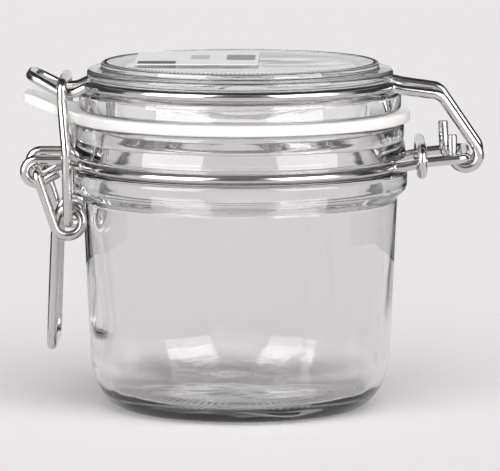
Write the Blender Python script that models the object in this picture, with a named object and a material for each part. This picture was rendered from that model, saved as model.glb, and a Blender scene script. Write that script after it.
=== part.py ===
"""Clip top jar: a squat tapered glass jar with a glass lid, a rubber ring and a wire clasp.

The jar stands on the XY plane with its axis on Z. The lid's hinge is at +X, the
clasp at -X, and everything but one wire tail and the label is symmetric about the
XZ plane. Sizes are in millimetres and are turned into metres by MM where a shape
is made. Angles are in degrees.
"""
import math

import bmesh
import bpy
from mathutils import Vector

MM = 0.001

# Jar glass
TURN_STEPS = 64
BEARING_RADIUS = 33.0
HEEL_REACH = 11.2
HEEL_HEIGHT = 17.0
HEEL_STEPS = 6
BODY_TOP_RADIUS = 46.1
BODY_TOP_Z = 61.2
BAND_RADIUS = 49.1
BAND_TOP_Z = 70.3
BAND_FILLET_HEIGHT = 3.6
BAND_FILLET_STEPS = 4
NECK_GROOVE_RADIUS = 44.7
FLANGE_RADIUS = 48.7
FLANGE_BOTTOM_Z = 73.7
RIM_Z = 84.4
GLASS_EDGE_RADIUS = 0.8
RIM_EDGE_RADIUS = 1.4
EDGE_STEPS = 2
MOUTH_RADIUS = 42.5
INSIDE_TAPER = 0.3
FLOOR_RADIUS = 35.5
FLOOR_Z = 5.4
FLOOR_CROWN = 0.5
FILLET_REACH = 5.0
FILLET_HEIGHT = 8.5
FILLET_STEPS = 4

# Rubber ring
RING_INNER_RADIUS = 42.9
RING_OUTER_RADIUS = 49.8
RING_BOTTOM_Z = 84.7
RING_TOP_Z = 87.7
RING_PLAIN_STEPS = 40
TAB_TIP_X = 63.2
TAB_TIP_HALF_WIDTH = 9.0
TAB_CORNER = 2.0
TAB_RISE = 5.1
TAB_THINNING = 0.4
TAB_FLARE = ((6.5, 0.9), (10.0, 2.3), (12.6, 4.1), (14.6, 6.6))
TAB_END_ANGLE = 4.0

# Lid glass
LID_BOTTOM_Z = 88.0
LID_TOP_Z = 102.0
LID_FLANGE_RADIUS = 47.2
LID_FLANGE_TOP_Z = 93.3
LID_SHOULDER_RADIUS = 44.9
LID_SHOULDER_TOP_Z = 99.8
LID_PLATEAU_RADIUS = 40.8
LID_GROOVE_RADIUS = 43.8
LID_GROOVE_BOTTOM_Z = 93.8
LID_GROOVE_TOP_Z = 97.4
LID_EDGE_RADIUS = 1.1
LID_PLUG_RADIUS = 40.2
LID_PLUG_WIDTH = 1.3
LID_PLUG_BOTTOM_Z = 84.1
LID_HOLLOW_RADIUS = 32.5
LID_HOLLOW_HEIGHT = 3.6
LID_HOLLOW_TOP_Z = 96.5
LID_HOLLOW_CROWN = 0.3

# Label on the lid
LABEL_MIN = (-30.5, -17.0)
LABEL_MAX = (5.5, 24.4)
LABEL_GAP = 0.15
LABEL_THICKNESS = 0.25

# All wires
WIRE_RADIUS = 1.45
WIRE_SIDES_LEVEL = 2
RING_STEP = 7.5
BEND_STEP = 22.5
ARC_STEP = 24.0
SHARP_BEND = 2.4

# Neck wire: (x, z) places in side view, and y where named
NECK_RING_RADIUS = 46.4
NECK_RING_Z = 71.95
PIVOT = (-59.1, 70.5)
LOOP_Y = 12.0
LOOP_RADIUS = 3.4
LOOP_END = (-52.6, 70.2)
LOOP_ARM_END_X = -51.2
LOOP_ARM_FOOT_X = -48.6
HINGE_ARM_Y = 14.4
HINGE_ARM_FOOT = (48.0, 72.3)
HINGE_ARM_BEND = (54.5, 73.7)
HINGE_PIN = (66.0, 74.9)

# Lid wire
LID_RING_RADIUS = 45.6
LID_RING_Z = 95.6
HOOK_CENTRE = (65.9, 75.55)
HOOK_Y = 11.0
HOOK_RADIUS = 3.9
HOOK_START_ANGLE = -180.0
NEAR_TAIL_TOP = (61.9, 81.5)
FAR_TAIL_TOP = (59.6, 83.3)
FAR_HOOK_START_RADIUS = 5.9
ELBOW = (58.5, 93.2)
ELBOW_Y = 12.6
LID_ARM_Y = 13.6
LID_ARM_FOOT = (47.2, 94.7)
NOSE_FOOT = (-47.9, 93.5)
NOSE_FOOT_Y = 12.6
NOSE_VALLEY = (-52.0, 93.3)
NOSE_VALLEY_Y = 10.8
NOSE_TIP = (-61.0, 98.1)
NOSE_TIP_Y = 8.6
NOSE_TIP_BEND = 4.6

# Lever
COIL_CENTRE = (-49.75, 56.0)
COIL_START_RADIUS = 4.2
COIL_END_RADIUS = 3.7
COIL_END_ANGLE = 540.0
LEVER_LEG_Y = 15.2
HANDLE_Y = 12.1
HANDLE_END = (-54.9, 19.3)
HANDLE_END_Y = 14.6
HANDLE_BEND = 4.6
PIN_END_Y = 9.9

# Link
LINK_FOOT_Y = 18.3
LINK_TOP_Y = 15.0
LINK_WAIST = (-50.1, 77.0)
LINK_SHOULDER = (-51.5, 91.0)
LINK_BAR = (-51.5, 96.5)

# Hoop round the hinge arms
HOOP_X = 52.9
HOOP_Z = 73.95
HOOP_YAW = 1.0
HOOP_END_RADIUS = 3.75
HOOP_END_CENTRE_Y = 13.9
HOOP_END_STEPS = 8


def clear_scene():
    """Removes every object of the open scene."""
    for thing in list(bpy.data.objects):
        bpy.data.objects.remove(thing, do_unlink=True)


def make_material(name, colour, roughness, metallic=0.0, transmission=0.0):
    """Returns a Principled material."""
    material = bpy.data.materials.new(name)
    material.use_nodes = True
    shader = material.node_tree.nodes["Principled BSDF"]
    shader.inputs["Base Color"].default_value = (*colour, 1.0)
    shader.inputs["Roughness"].default_value = roughness
    shader.inputs["Metallic"].default_value = metallic
    shader.inputs["Transmission Weight"].default_value = transmission
    material.diffuse_color = (*colour, 1.0)
    return material


def make_axis(name, place):
    """Returns an empty on a joint's axis, which runs along Y through place (x, z)."""
    empty = bpy.data.objects.new(name, None)
    empty.empty_display_size = 10.0 * MM
    empty.location = (place[0] * MM, 0.0, place[1] * MM)
    bpy.context.scene.collection.objects.link(empty)
    return empty


def add_piece(name, data, material, axis=None):
    """Links data as an object and hangs it on its joint's axis, where it has one."""
    piece = bpy.data.objects.new(name, data)
    piece.data.materials.append(material)
    bpy.context.scene.collection.objects.link(piece)
    if axis:
        piece.parent = axis
    return piece


def origin_of(axis):
    """Returns the point that a piece's own coordinates start from, in metres."""
    return axis.location.copy() if axis else Vector((0.0, 0.0, 0.0))


def ellipse_arc(centre, reach, height, start, end, steps):
    """Returns points (radius, z) on an ellipse between two angles."""
    points = []
    for step in range(steps + 1):
        angle = math.radians(start + (end - start) * step / steps)
        points.append((centre[0] + reach * math.cos(angle), centre[1] + height * math.sin(angle)))
    return points


def rounded_edge(corner, inward, upward, radius, start, end):
    """Rounds a corner of a profile: inward and upward are the signs that lead to the arc's centre."""
    centre = (corner[0] + inward * radius, corner[1] + upward * radius)
    return ellipse_arc(centre, radius, radius, start, end, EDGE_STEPS)


def turned_mesh(name, profile, origin):
    """Turns a profile of (radius, z) points, from axis to axis, into a closed mesh."""
    shape = bmesh.new()
    rings = []
    for radius, z in profile:
        if radius == 0.0:
            rings.append([shape.verts.new(Vector((0.0, 0.0, z * MM)) - origin)])
            continue
        ring = []
        for step in range(TURN_STEPS):
            angle = 2.0 * math.pi * step / TURN_STEPS
            place = Vector((radius * math.cos(angle), radius * math.sin(angle), z)) * MM
            ring.append(shape.verts.new(place - origin))
        rings.append(ring)
    for lower, upper in zip(rings, rings[1:]):
        join_rings(shape, lower, upper)
    bmesh.ops.recalc_face_normals(shape, faces=shape.faces)
    return finish_mesh(name, shape)


def join_rings(shape, lower, upper):
    """Bridges two rings of vertices, either of which may be a single point."""
    count = max(len(lower), len(upper))
    for step in range(count):
        following = (step + 1) % count
        if len(lower) == 1:
            shape.faces.new((lower[0], upper[following], upper[step]))
        elif len(upper) == 1:
            shape.faces.new((lower[step], lower[following], upper[0]))
        else:
            shape.faces.new((lower[step], lower[following], upper[following], upper[step]))


def finish_mesh(name, shape, crease=35.0):
    """Writes a bmesh to a new smooth-shaded mesh with edges sharper than crease kept sharp."""
    mesh = bpy.data.meshes.new(name)
    shape.to_mesh(mesh)
    shape.free()
    mesh.shade_smooth()
    mesh.set_sharp_from_angle(angle=math.radians(crease))
    return mesh


def jar_profile():
    """Profile of the jar's wall, from the middle of its underside up and down its inside."""
    outside = [(0.0, 0.0)]
    outside += ellipse_arc(
        (BEARING_RADIUS, HEEL_HEIGHT), HEEL_REACH, HEEL_HEIGHT, -90.0, 0.0, HEEL_STEPS
    )
    outside += ellipse_arc(
        (BODY_TOP_RADIUS, BODY_TOP_Z + BAND_FILLET_HEIGHT),
        BAND_RADIUS - BODY_TOP_RADIUS,
        BAND_FILLET_HEIGHT,
        -90.0,
        0.0,
        BAND_FILLET_STEPS,
    )
    outside += rounded_edge((BAND_RADIUS, BAND_TOP_Z), -1, -1, GLASS_EDGE_RADIUS, 0.0, 90.0)
    outside += [(NECK_GROOVE_RADIUS, BAND_TOP_Z), (NECK_GROOVE_RADIUS, FLANGE_BOTTOM_Z)]
    outside += rounded_edge((FLANGE_RADIUS, FLANGE_BOTTOM_Z), -1, 1, GLASS_EDGE_RADIUS, -90.0, 0.0)
    outside += rounded_edge((FLANGE_RADIUS - INSIDE_TAPER, RIM_Z), -1, -1, RIM_EDGE_RADIUS, 0.0, 90.0)
    inside = rounded_edge((MOUTH_RADIUS, RIM_Z), 1, -1, GLASS_EDGE_RADIUS, 90.0, 180.0)
    inside += ellipse_arc(
        (FLOOR_RADIUS, FLOOR_Z + FILLET_HEIGHT), FILLET_REACH, FILLET_HEIGHT, 0.0, -90.0, FILLET_STEPS
    )
    inside.insert(EDGE_STEPS + 1, (MOUTH_RADIUS - INSIDE_TAPER, BODY_TOP_Z))
    inside += [(0.0, FLOOR_Z + FLOOR_CROWN)]
    return outside + inside


def lid_profile():
    """Profile of the lid, from the middle of its top round to the middle of its hollow."""
    top = [(0.0, LID_TOP_Z)]
    top += rounded_edge((LID_PLATEAU_RADIUS, LID_TOP_Z), -1, -1, LID_EDGE_RADIUS, 90.0, 0.0)
    top += [(LID_PLATEAU_RADIUS, LID_SHOULDER_TOP_Z)]
    top += rounded_edge((LID_SHOULDER_RADIUS, LID_SHOULDER_TOP_Z), -1, -1, LID_EDGE_RADIUS, 90.0, 0.0)
    top += [
        (LID_SHOULDER_RADIUS, LID_GROOVE_TOP_Z),
        (LID_GROOVE_RADIUS, LID_GROOVE_TOP_Z),
        (LID_GROOVE_RADIUS, LID_GROOVE_BOTTOM_Z),
    ]
    top += rounded_edge((LID_FLANGE_RADIUS, LID_FLANGE_TOP_Z), -1, -1, LID_EDGE_RADIUS, 90.0, 0.0)
    top += rounded_edge((LID_FLANGE_RADIUS, LID_BOTTOM_Z), -1, 1, GLASS_EDGE_RADIUS, 0.0, -90.0)
    plug = [
        (LID_PLUG_RADIUS + LID_PLUG_WIDTH, LID_BOTTOM_Z),
        (LID_PLUG_RADIUS, LID_PLUG_BOTTOM_Z),
        (LID_PLUG_RADIUS - LID_PLUG_WIDTH, LID_PLUG_BOTTOM_Z),
    ]
    hollow = ellipse_arc(
        (LID_HOLLOW_RADIUS, LID_HOLLOW_TOP_Z - LID_HOLLOW_HEIGHT),
        LID_PLUG_RADIUS - LID_PLUG_WIDTH * 2.0 - LID_HOLLOW_RADIUS,
        LID_HOLLOW_HEIGHT,
        0.0,
        90.0,
        FILLET_STEPS,
    )
    return top + plug + hollow + [(0.0, LID_HOLLOW_TOP_Z + LID_HOLLOW_CROWN)]


def tab_outline():
    """Corners (angle from -X, radius) of half of the rubber ring's outer edge."""
    corners = [
        (TAB_TIP_X, 0.0),
        (TAB_TIP_X, TAB_TIP_HALF_WIDTH - TAB_CORNER),
        (TAB_TIP_X - TAB_CORNER * 0.3, TAB_TIP_HALF_WIDTH - TAB_CORNER * 0.3),
        (TAB_TIP_X - TAB_CORNER, TAB_TIP_HALF_WIDTH),
    ]
    corners += [(TAB_TIP_X - back, TAB_TIP_HALF_WIDTH + aside) for back, aside in TAB_FLARE]
    outline = []
    for across, aside in corners:
        outline.append((math.degrees(math.atan2(aside, across)), math.hypot(across, aside)))
    outline.append((outline[-1][0] + TAB_END_ANGLE, RING_OUTER_RADIUS))
    return outline


def gasket_mesh(origin):
    """Builds the rubber ring, a flat band whose outer edge runs out and up into a pull tab."""
    outline = tab_outline()
    last_angle = outline[-1][0]
    plain_angle = 360.0 - 2.0 * last_angle
    sections = list(outline)
    for step in range(1, RING_PLAIN_STEPS):
        sections.append((last_angle + plain_angle * step / RING_PLAIN_STEPS, RING_OUTER_RADIUS))
    sections += [(360.0 - angle, radius) for angle, radius in reversed(outline[1:])]
    shape = bmesh.new()
    rings = []
    for angle, outer in sections:
        reach = (outer - RING_OUTER_RADIUS) / (TAB_TIP_X - RING_OUTER_RADIUS)
        rise = TAB_RISE * reach
        thinning = TAB_THINNING * max(reach, 0.0)
        middle = RING_OUTER_RADIUS - 1.0
        corners = [
            (RING_INNER_RADIUS, RING_BOTTOM_Z),
            (middle, RING_BOTTOM_Z),
            (outer, RING_BOTTOM_Z + rise + thinning),
            (outer, RING_TOP_Z + rise),
            (middle, RING_TOP_Z),
            (RING_INNER_RADIUS, RING_TOP_Z),
        ]
        turn = math.radians(180.0 - angle)
        ring = []
        for radius, z in corners:
            place = Vector((radius * math.cos(turn), radius * math.sin(turn), z)) * MM
            ring.append(shape.verts.new(place - origin))
        rings.append(ring)
    for number, ring in enumerate(rings):
        following = rings[(number + 1) % len(rings)]
        for corner in range(len(ring)):
            beside = (corner + 1) % len(ring)
            shape.faces.new((ring[corner], ring[beside], following[beside], following[corner]))
    bmesh.ops.recalc_face_normals(shape, faces=shape.faces)
    return finish_mesh("gasket", shape)


def label_mesh(origin):
    """Builds the paper label, a thin plate just above the lid's flat top."""
    shape = bmesh.new()
    bmesh.ops.create_cube(shape, size=1.0)
    bottom = LID_TOP_Z + LABEL_GAP
    for vertex in shape.verts:
        x = LABEL_MAX[0] if vertex.co.x > 0 else LABEL_MIN[0]
        y = LABEL_MAX[1] if vertex.co.y > 0 else LABEL_MIN[1]
        z = bottom + LABEL_THICKNESS if vertex.co.z > 0 else bottom
        vertex.co = Vector((x, y, z)) * MM - origin
    return finish_mesh("lid_label", shape)


def fillet(before, corner, after, radius):
    """Returns points that round a corner of a wire with a bend of the given radius."""
    incoming = (corner - before).normalized()
    outgoing = (after - corner).normalized()
    turn = incoming.angle(outgoing)
    if radius == 0.0 or turn < math.radians(2.0):
        return [corner]
    reach = radius * math.tan(turn / 2.0)
    centre = corner + (outgoing - incoming).normalized() * (radius / math.cos(turn / 2.0))
    start = corner - incoming * reach - centre
    axis = incoming.cross(outgoing).normalized()
    steps = max(2, math.ceil(math.degrees(turn) / BEND_STEP))
    points = []
    for step in range(steps + 1):
        part = turn * step / steps
        turned = start * math.cos(part) + axis.cross(start) * math.sin(part)
        points.append(centre + turned)
    return points


def bent_wire(corners):
    """Turns corners (x, y, z, bend radius) into the points of a bent wire, in mm."""
    places = [Vector(corner[:3]) for corner in corners]
    points = [places[0]]
    for number in range(1, len(corners) - 1):
        points += fillet(places[number - 1], places[number], places[number + 1], corners[number][3])
    return points + [places[-1]]


def upright_arc(centre, radii, angles, ys, step=ARC_STEP):
    """Returns corners on an arc round an axis along Y, whose radius, angle and y change evenly."""
    count = math.ceil(abs(angles[1] - angles[0]) / step)
    corners = []
    for number in range(count + 1):
        part = number / count
        angle = math.radians(angles[0] + (angles[1] - angles[0]) * part)
        radius = radii[0] + (radii[1] - radii[0]) * part
        x = centre[0] + radius * math.cos(angle)
        z = centre[1] + radius * math.sin(angle)
        corners.append((x, ys[0] + (ys[1] - ys[0]) * part, z, 0.0))
    return corners


def ring_arc(radius, z, start, end):
    """Returns corners on a level ring round the jar's axis, without the two ends."""
    count = round(abs(end - start) / RING_STEP)
    corners = []
    for number in range(1, count):
        angle = math.radians(start + (end - start) * number / count)
        corners.append((radius * math.cos(angle), radius * math.sin(angle), z, 0.0))
    return corners


def tangent_angle(centre, radius, place, side):
    """Returns the angle at which a line from place touches a circle, on the chosen side."""
    across = place[0] - centre[0]
    up = place[1] - centre[1]
    spread = math.acos(radius / math.hypot(across, up))
    return math.degrees(math.atan2(up, across) + side * spread)


def at(place, y, bend=0.0):
    """Returns a corner of the near half of a wire, from its (x, z) place and its distance y."""
    return (place[0], -y, place[1], bend)


def mirrored(corners):
    """Returns the same corners on the far side of the jar, in reverse order."""
    return [(x, -y, z, bend) for x, y, z, bend in reversed(corners)]


def wire_curve(name, points, origin, closed=False):
    """Makes a round wire along the points."""
    curve = bpy.data.curves.new(name, "CURVE")
    curve.dimensions = "3D"
    curve.bevel_depth = WIRE_RADIUS * MM
    curve.bevel_resolution = WIRE_SIDES_LEVEL
    curve.use_fill_caps = True
    spline = curve.splines.new("POLY")
    spline.points.add(len(points) - 1)
    for place, point in zip(points, spline.points):
        point.co = (*(place * MM - origin), 1.0)
    spline.use_cyclic_u = closed
    return curve


def neck_wire_points():
    """Neck wire: eye loop, arm, half ring, hinge arm and cross pin, then the same again."""
    left_angle = 180.0 + math.degrees(math.asin(LOOP_Y / NECK_RING_RADIUS))
    right_angle = 360.0 - math.degrees(math.asin(HINGE_ARM_Y / NECK_RING_RADIUS))
    left_x = NECK_RING_RADIUS * math.cos(math.radians(left_angle))
    right_x = NECK_RING_RADIUS * math.cos(math.radians(right_angle))
    touch = tangent_angle(PIVOT, LOOP_RADIUS, LOOP_END, -1)
    near = [at(LOOP_END, LOOP_Y)]
    near += upright_arc(PIVOT, (LOOP_RADIUS, LOOP_RADIUS), (touch + 360.0, 90.0), (-LOOP_Y, -LOOP_Y))
    near += [
        at((LOOP_ARM_END_X, PIVOT[1] + LOOP_RADIUS), LOOP_Y, SHARP_BEND),
        at((LOOP_ARM_FOOT_X, NECK_RING_Z), LOOP_Y, SHARP_BEND),
        at((left_x, NECK_RING_Z), LOOP_Y, SHARP_BEND),
    ]
    near += ring_arc(NECK_RING_RADIUS, NECK_RING_Z, left_angle, right_angle)
    near += [
        at((right_x, NECK_RING_Z), HINGE_ARM_Y, SHARP_BEND),
        at(HINGE_ARM_FOOT, HINGE_ARM_Y, WIRE_RADIUS * 4.0),
        at(HINGE_ARM_BEND, HINGE_ARM_Y, WIRE_RADIUS * 4.0),
        at(HINGE_PIN, HINGE_ARM_Y, SHARP_BEND),
    ]
    return bent_wire(near + mirrored(near))


def lid_wire_hook(start_radius):
    """Near hook of the lid wire, which wraps the hinge pin from the wire's tail to its arm."""
    touch = tangent_angle(HOOK_CENTRE, HOOK_RADIUS, ELBOW, -1)
    return upright_arc(
        HOOK_CENTRE, (start_radius, HOOK_RADIUS), (HOOK_START_ANGLE, touch), (-HOOK_Y, -HOOK_Y)
    )


def lid_wire_side():
    """Near side of the lid wire, from its elbow along arm and half ring to the nose."""
    left_angle = 180.0 + math.degrees(math.asin(LID_ARM_Y / LID_RING_RADIUS))
    right_angle = 360.0 - math.degrees(math.asin(LID_ARM_Y / LID_RING_RADIUS))
    left_x = LID_RING_RADIUS * math.cos(math.radians(left_angle))
    right_x = LID_RING_RADIUS * math.cos(math.radians(right_angle))
    arm = [
        at(ELBOW, ELBOW_Y, WIRE_RADIUS * 3.0),
        at(LID_ARM_FOOT, LID_ARM_Y, WIRE_RADIUS * 4.0),
        at((right_x, LID_RING_Z), LID_ARM_Y, SHARP_BEND),
    ]
    ring = ring_arc(LID_RING_RADIUS, LID_RING_Z, right_angle, left_angle)
    nose = [
        at((left_x, LID_RING_Z), LID_ARM_Y, SHARP_BEND),
        at(NOSE_FOOT, NOSE_FOOT_Y, WIRE_RADIUS * 3.0),
        at(NOSE_VALLEY, NOSE_VALLEY_Y, WIRE_RADIUS * 3.0),
        at(NOSE_TIP, NOSE_TIP_Y, NOSE_TIP_BEND),
    ]
    return arm + ring + nose


def lid_wire_points():
    """Lid wire: tail, hook, arm and half ring to the nose, then back along the far side."""
    near = [at(NEAR_TAIL_TOP, HOOK_Y)] + lid_wire_hook(HOOK_RADIUS) + lid_wire_side()
    far = [at(FAR_TAIL_TOP, HOOK_Y)] + lid_wire_hook(FAR_HOOK_START_RADIUS) + lid_wire_side()
    return bent_wire(near + mirrored(far))


def lever_points():
    """Lever: pivot pin, leg, coil, handle leg and half of the handle's end, both sides."""
    touch = tangent_angle(COIL_CENTRE, COIL_START_RADIUS, PIVOT, 1)
    near = [at(PIVOT, PIN_END_Y), at(PIVOT, LEVER_LEG_Y, SHARP_BEND)]
    near += upright_arc(
        COIL_CENTRE,
        (COIL_START_RADIUS, COIL_END_RADIUS),
        (touch, COIL_END_ANGLE),
        (-LEVER_LEG_Y, -HANDLE_Y),
    )
    near += [at(HANDLE_END, HANDLE_END_Y, HANDLE_BEND)]
    return bent_wire(near + mirrored(near))


def link_points():
    """Link: pin through the lever's coil, leg and half of the bar over the nose, both sides."""
    near = [
        at(COIL_CENTRE, PIN_END_Y),
        at(COIL_CENTRE, LINK_FOOT_Y, SHARP_BEND),
        at(LINK_WAIST, LINK_FOOT_Y, WIRE_RADIUS * 7.0),
        at(LINK_SHOULDER, LINK_TOP_Y, WIRE_RADIUS * 7.0),
        at(LINK_BAR, LINK_TOP_Y, SHARP_BEND),
    ]
    return bent_wire(near + mirrored(near))


def hoop_points():
    """Hoop: an upright ring with straight top and bottom and half round ends, turned a little."""
    points = []
    for side in (-1, 1):
        for step in range(HOOP_END_STEPS + 1):
            angle = math.radians(180.0 * step / HOOP_END_STEPS)
            y = side * (HOOP_END_CENTRE_Y + HOOP_END_RADIUS * math.sin(angle))
            z = HOOP_Z + side * HOOP_END_RADIUS * math.cos(angle)
            points.append(Vector((HOOP_X - y * math.tan(math.radians(HOOP_YAW)), y, z)))
    return points


def build():
    """Makes every piece of the jar."""
    clear_scene()
    glass = make_material("clear glass", (0.86, 0.86, 0.87), 0.02, transmission=1.0)
    steel = make_material("bright steel wire", (0.72, 0.71, 0.70), 0.12, metallic=1.0)
    rubber = make_material("white rubber", (0.90, 0.89, 0.87), 0.45)
    paper = make_material("label paper", (0.88, 0.88, 0.88), 0.55)
    lid_axis = make_axis("lid_axis", HINGE_PIN)
    lever_axis = make_axis("lever_axis", PIVOT)
    link_axis = make_axis("link_axis", COIL_CENTRE)
    here = origin_of(None)
    on_lid = origin_of(lid_axis)
    on_lever = origin_of(lever_axis)
    on_link = origin_of(link_axis)
    add_piece("jar_glass", turned_mesh("jar_glass", jar_profile(), here), glass)
    add_piece("gasket", gasket_mesh(here), rubber)
    add_piece("neck_wire", wire_curve("neck_wire", neck_wire_points(), here), steel)
    add_piece("hinge_hoop", wire_curve("hinge_hoop", hoop_points(), here, closed=True), steel)
    add_piece("lid_glass", turned_mesh("lid_glass", lid_profile(), on_lid), glass, lid_axis)
    add_piece("lid_wire", wire_curve("lid_wire", lid_wire_points(), on_lid), steel, lid_axis)
    add_piece("lid_label", label_mesh(on_lid), paper, lid_axis)
    add_piece("clasp_lever", wire_curve("clasp_lever", lever_points(), on_lever), steel, lever_axis)
    add_piece("clasp_link", wire_curve("clasp_link", link_points(), on_link), steel, link_axis)


build()
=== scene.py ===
# %% [markdown]
# # A clip top jar
# A clip top jar is a squat pressed glass jar whose glass lid is held down on a rubber ring
# by a clasp of bent steel wire. This lesson dresses the jar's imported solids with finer
# pieces. Each finer piece starts from the same sizes as its solid, in millimetres, and is
# made once more with smoother curves and the small details of the real thing.

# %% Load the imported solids
import math

import bmesh
import bpy
import numpy as np
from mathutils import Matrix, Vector


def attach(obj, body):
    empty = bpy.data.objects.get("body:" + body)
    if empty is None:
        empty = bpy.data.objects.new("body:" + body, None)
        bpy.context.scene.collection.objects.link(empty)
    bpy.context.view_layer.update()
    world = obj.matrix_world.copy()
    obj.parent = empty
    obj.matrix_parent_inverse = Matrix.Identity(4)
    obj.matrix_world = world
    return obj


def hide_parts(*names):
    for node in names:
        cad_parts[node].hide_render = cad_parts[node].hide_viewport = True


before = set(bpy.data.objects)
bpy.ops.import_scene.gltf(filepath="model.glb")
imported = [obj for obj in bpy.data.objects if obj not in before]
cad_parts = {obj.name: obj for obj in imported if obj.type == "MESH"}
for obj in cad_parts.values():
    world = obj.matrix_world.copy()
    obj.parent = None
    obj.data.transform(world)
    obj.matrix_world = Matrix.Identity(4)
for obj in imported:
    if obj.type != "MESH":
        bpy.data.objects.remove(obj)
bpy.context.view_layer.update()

MM = 0.001
print("solids:", ", ".join(sorted(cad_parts)))

# %% [markdown]
# ## Camera
# The jar is photographed from the front and a little above, with a long lens, so that it
# shows hardly any perspective. The camera is set by the point it looks at, its two angles
# and its distance, because those can be read off a photograph one after the other: the
# height of the ellipses gives the angle above the table, and the offset between the near
# and the far wire gives the angle to the side.

# %% Camera
CAMERA_SIDE = math.radians(1.1)
CAMERA_UP = math.radians(7.3)
CAMERA_DISTANCE = 1.5
CAMERA_LENS = 367.2
LOOKED_AT = Vector((2.9, 0.0, 50.3)) * MM

camera_data = bpy.data.cameras.new("camera")
camera_data.lens = CAMERA_LENS
camera_data.sensor_width = 36.0
camera = bpy.data.objects.new("camera", camera_data)
backwards = Vector((
    math.sin(CAMERA_SIDE) * math.cos(CAMERA_UP),
    -math.cos(CAMERA_SIDE) * math.cos(CAMERA_UP),
    math.sin(CAMERA_UP),
))
camera.location = LOOKED_AT + backwards * CAMERA_DISTANCE
camera.rotation_euler = (-backwards).to_track_quat("-Z", "Y").to_euler()
bpy.context.scene.collection.objects.link(camera)
bpy.context.scene.camera = camera
bpy.context.scene.view_settings.view_transform = "Standard"
print("camera stands at", [round(value, 3) for value in camera.location])

# %% [markdown]
# ## Node helpers
# Every finish below is a small network of shader nodes. Five helpers keep the cells
# short: one starts a material, one adds a node and sets its sockets, one makes a noise,
# one turns a height into a bump, and one turns a value into a colour. A value that is the
# same all over a surface is typed straight into the shader's own socket, so that the
# finish also survives an export.


# %% Node helpers
def new_finish(name):
    """Starts a material and returns it with its node tree and its Principled shader."""
    finish = bpy.data.materials.new(name)
    finish.use_nodes = True
    tree = finish.node_tree
    return finish, tree, tree.nodes["Principled BSDF"]


def add_node(tree, kind, links=(), **sockets):
    """Adds a node, sets named sockets or properties and links (socket, source) pairs."""
    node = tree.nodes.new(kind)
    for name, value in sockets.items():
        label = name.replace("_", " ")
        if label in node.inputs:
            node.inputs[label].default_value = value
        else:
            setattr(node, name, value)
    for socket, source in links:
        tree.links.new(source, node.inputs[socket])
    return node


def noise(tree, place, scale, detail):
    """Adds a noise over the given place and returns its value."""
    links = [("Vector", place)]
    return add_node(tree, "ShaderNodeTexNoise", links, Scale=scale, Detail=detail).outputs["Fac"]


def add_bump(tree, height, distance, strength=1.0, under=None):
    """Returns the normal that a height gives, over another bump where one is named."""
    links = [("Height", height)]
    if under:
        links.append(("Normal", under))
    bump = add_node(tree, "ShaderNodeBump", links, Strength=strength, Distance=distance)
    return bump.outputs["Normal"]


def ramp(tree, source, stops):
    """Adds a colour ramp with stops of (place, grey or colour) and returns its colour."""
    node = add_node(tree, "ShaderNodeValToRGB", [("Fac", source)])
    elements = node.color_ramp.elements
    while len(elements) < len(stops):
        elements.new(0.5)
    for element, (place, colour) in zip(elements, stops):
        element.position = place
        shade = colour if isinstance(colour, tuple) else (colour, colour, colour)
        element.color = (*shade, 1.0)
    return node.outputs["Color"]


print("node helpers are ready")

# %% [markdown]
# ## Floor
# The jar stands on a seamless pale sheet. A wide round floor is enough here, because the
# camera looks down a little and never sees past it. The sheet is almost white with the
# faintest pink, and its surface is soft, so the jar leaves only a weak shadow on it.

# %% Floor
FLOOR_REACH = 6.0
FLOOR_COLOUR = (0.860, 0.835, 0.855)


def paper_floor_finish():
    """Pale sheet with a fine matt tooth."""
    finish, tree, shader = new_finish("pale paper floor")
    place = add_node(tree, "ShaderNodeTexCoord").outputs["Object"]
    tooth = noise(tree, place, 900.0, 2.0)
    shader.inputs["Base Color"].default_value = (*FLOOR_COLOUR, 1.0)
    shader.inputs["Roughness"].default_value = 1.0
    shader.inputs["Specular IOR Level"].default_value = 0.0
    normal = add_bump(tree, tooth, 0.00003, 0.3)
    tree.links.new(normal, shader.inputs["Normal"])
    return finish


def round_floor():
    """A flat round disc."""
    shape = bmesh.new()
    bmesh.ops.create_circle(shape, cap_ends=True, segments=96, radius=FLOOR_REACH)
    mesh = bpy.data.meshes.new("floor")
    shape.to_mesh(mesh)
    shape.free()
    floor = bpy.data.objects.new("floor", mesh)
    bpy.context.scene.collection.objects.link(floor)
    return floor


floor = round_floor()
floor.data.materials.append(paper_floor_finish())
print("floor is", FLOOR_REACH * 2, "m across")

# %% [markdown]
# ## Light
# Glass and bright wire have next to no colour of their own. What they show is the room:
# the sheet below, two soft boxes to the left and right of the camera and a dark gap
# between them, where the photographer stands. The room is a world shader that is fairly
# light near the horizon and dark overhead and behind the camera. The sheet itself is lit
# by a very wide sun lamp, which has no fall-off, so the sheet comes out evenly pale. The
# two boxes are area lights that only show in gloss and through glass, as crisp patches.

# %% Room
ROOM_STOPS = ((0.14, 0.78), (0.35, 0.39), (0.60, 0.26))
ROOM_BEHIND_CAMERA = 0.25
ROOM_FRONT_FADE = (-0.95, -0.45)


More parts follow.
